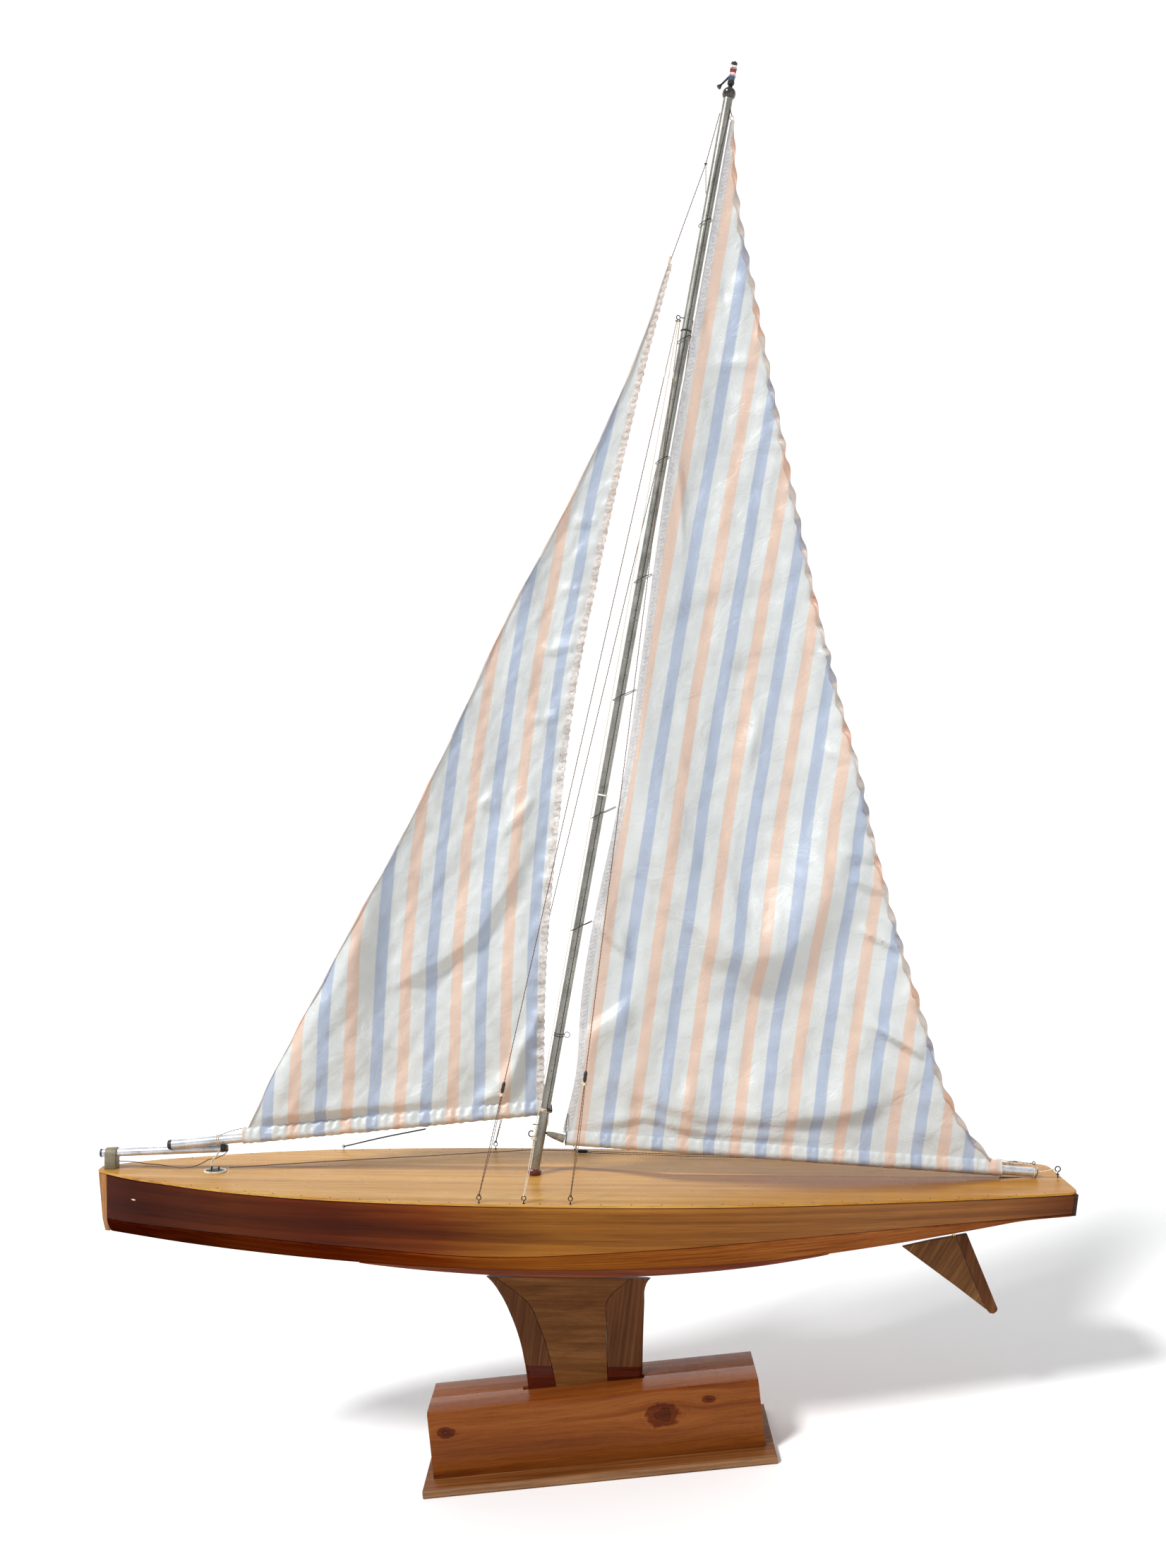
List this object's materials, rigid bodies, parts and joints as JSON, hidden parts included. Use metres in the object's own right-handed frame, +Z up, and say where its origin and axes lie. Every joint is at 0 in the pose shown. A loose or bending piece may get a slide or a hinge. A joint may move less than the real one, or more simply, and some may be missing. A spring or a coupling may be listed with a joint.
{
  "type": "model sailboat",
  "caption": "Wooden model pond yacht with an aluminium mast and booms, striped jib and mainsail, fin keel and rudder, standing by its fin in a slotted timber display stand.",
  "frame": {"origin": "on the surface that the stand rests on, in the middle of the whole object's footprint", "axes": "+Z up, +X towards the stern, +Y towards starboard"},
  "size_m": [1.2642, 0.2724, 1.8106],
  "materials": {
    "side_wood": "varnished mahogany, satin gloss",
    "bottom_wood": "varnished mahogany, lighter brown",
    "deck_wood": "varnished golden ply, glossy",
    "stem_wood": "varnished light brown wood",
    "transom_wood": "dark stained wood",
    "keel_wood": "varnished red-brown wood",
    "ply": "bare birch ply",
    "fin_edge_wood": "varnished dark red-brown wood",
    "fin_core_wood": "varnished red-brown wood",
    "lead": "dull grey lead",
    "brass": "plain brass",
    "mast_metal": "drawn tube, dull polish",
    "tube_metal": "drawn tube, dull polish",
    "collar_red": "dark red, semi-gloss",
    "black_gloss": "black, glossy",
    "wire": "dark blued wire",
    "pennant_cloth": "rolled striped cloth",
    "cord_brown": "brown waxed cord",
    "cord_black": "black cord",
    "cord_cream": "cream cord",
    "plug_grey": "grey-brown wood",
    "sail_cloth": "thin striped sailcloth, off-white, pale blue and peach",
    "saddle_grey": "olive grey, satin",
    "dark_metal": "dark tarnished metal",
    "cream_metal": "cream painted wire",
    "oak": "varnished brown oak",
    "pine": "varnished orange pine with knots",
    "steel": "plain steel"
  },
  "bodies": {
    "stand": {"stand_base_plate": "oak", "stand_block_port": "pine", "stand_block_starboard": "pine", "stand_screw_port": "steel", "stand_screw_starboard": "steel"},
    "yacht": {"bow_cord": "cord_brown", "bow_saddle": "saddle_grey", "bow_tube": "tube_metal", "bow_tube_plug": "black_gloss", "chainplate_eye_port_aft": "wire", "chainplate_eye_port_fore": "wire", "chainplate_eye_port_middle": "wire", "chainplate_eye_starboard_aft": "wire", "chainplate_eye_starboard_fore": "wire", "chainplate_eye_starboard_middle": "wire", "deck_line": "cord_brown", "deck_panel": "deck_wood", "fin_ballast": "lead", "fin_core": "fin_core_wood", "fin_leading_strip": "fin_edge_wood", "fin_trailing_strip": "fin_edge_wood", "frame_aft": "ply", "frame_fore": "ply", "gooseneck_eye": "wire", "hound_eye_port": "wire", "hound_eye_starboard": "wire", "hull_bottom_port": "bottom_wood", "hull_bottom_starboard": "bottom_wood", "hull_side_port": "side_wood", "hull_side_starboard": "side_wood", "jib_deck_plate": "dark_metal", "jib_pivot_hook": "cream_metal", "jib_sheet": "cord_black", "keel_batten": "keel_wood", "mainsheet": "cord_cream", "mast_collar": "collar_red", "mast_step": "ply", "mast_tube": "mast_metal", "masthead_finial": "black_gloss", "rudder_tube": "brass", "shroud_port_aft": "cord_brown", "shroud_port_fore": "cord_brown", "shroud_port_middle": "cord_brown", "shroud_starboard_aft": "cord_brown", "shroud_starboard_fore": "cord_brown", "shroud_starboard_middle": "cord_brown", "stem_post": "stem_wood", "stern_eye": "wire", "transom": "transom_wood"},
    "main_boom": {"main_boom_tube": "mast_metal", "gooseneck_plug": "plug_grey", "luff_hoops": "wire", "mainsail": "sail_cloth"},
    "jib_boom": {"jib_boom_tube": "mast_metal", "jib": "sail_cloth", "jib_halyard": "cord_brown"},
    "rudder": {"rudder_blade": "fin_core_wood", "rudder_trailing_strip": "fin_edge_wood", "rudder_stock": "brass"},
    "pennant": {"pennant": "pennant_cloth"}
  },
  "joints": [
    {"name": "lift_out", "type": "slide", "parent": "stand", "child": "yacht", "axis": [0.1136, 0, 0.9935], "range_m": [0, 0.07]},
    {"name": "main_boom_swing", "type": "hinge", "parent": "yacht", "child": "main_boom", "pos_m": [-0.05835, 0, 0.37355], "axis": [0.2829, 0, 0.9591], "range_deg": [-40, 40]},
    {"name": "jib_boom_swing", "type": "hinge", "parent": "yacht", "child": "jib_boom", "pos_m": [-0.4619, -0.0043, 0.45692], "axis": [0.5281, 0.0028, 0.8492], "range_deg": [0, 12]},
    {"name": "rudder_turn", "type": "hinge", "parent": "yacht", "child": "rudder", "pos_m": [0.48247, 0, 0.23904], "axis": [-0.0746, 0, 0.9972], "range_deg": [-35, 35]},
    {"name": "pennant_turn", "type": "hinge", "parent": "yacht", "child": "pennant", "pos_m": [0.35119, 0, 1.76182], "axis": [0.2829, 0, 0.9591], "continuous": true}
  ]
}
